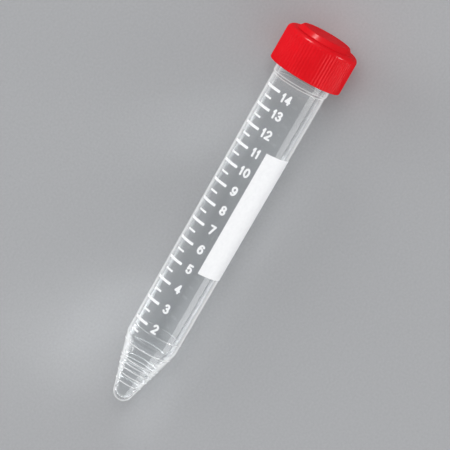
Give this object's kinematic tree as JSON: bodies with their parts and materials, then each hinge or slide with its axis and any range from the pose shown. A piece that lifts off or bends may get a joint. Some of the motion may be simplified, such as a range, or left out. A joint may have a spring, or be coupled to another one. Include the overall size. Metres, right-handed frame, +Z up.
{
  "type": "15 ml conical tube",
  "caption": "Clear conical-bottom laboratory tube with printed graduations, a raised-ring cone and a red ribbed screw cap, lying on its side.",
  "frame": {"origin": "centre of the base of the lying object's box, on the surface it lies on", "axes": "+Z up; +X along the lying tube towards its cap, whose end the tube's own axis meets rising by 2.1 degrees; +Y across"},
  "size_m": [0.1202, 0.022, 0.0224],
  "materials": {
    "clear_plastic": "polished clear moulding",
    "red_plastic": "satin moulded plastic",
    "white_ink": "screen-printed ink"
  },
  "bodies": {
    "tube": {"tube": "clear_plastic"},
    "cap": {"cap": "red_plastic"}
  },
  "joints": [
    {"name": "cap_lift", "type": "slide", "parent": "tube", "child": "cap", "axis": [0.9993, 0, 0.0366], "range_m": [0, 0.03]}
  ]
}
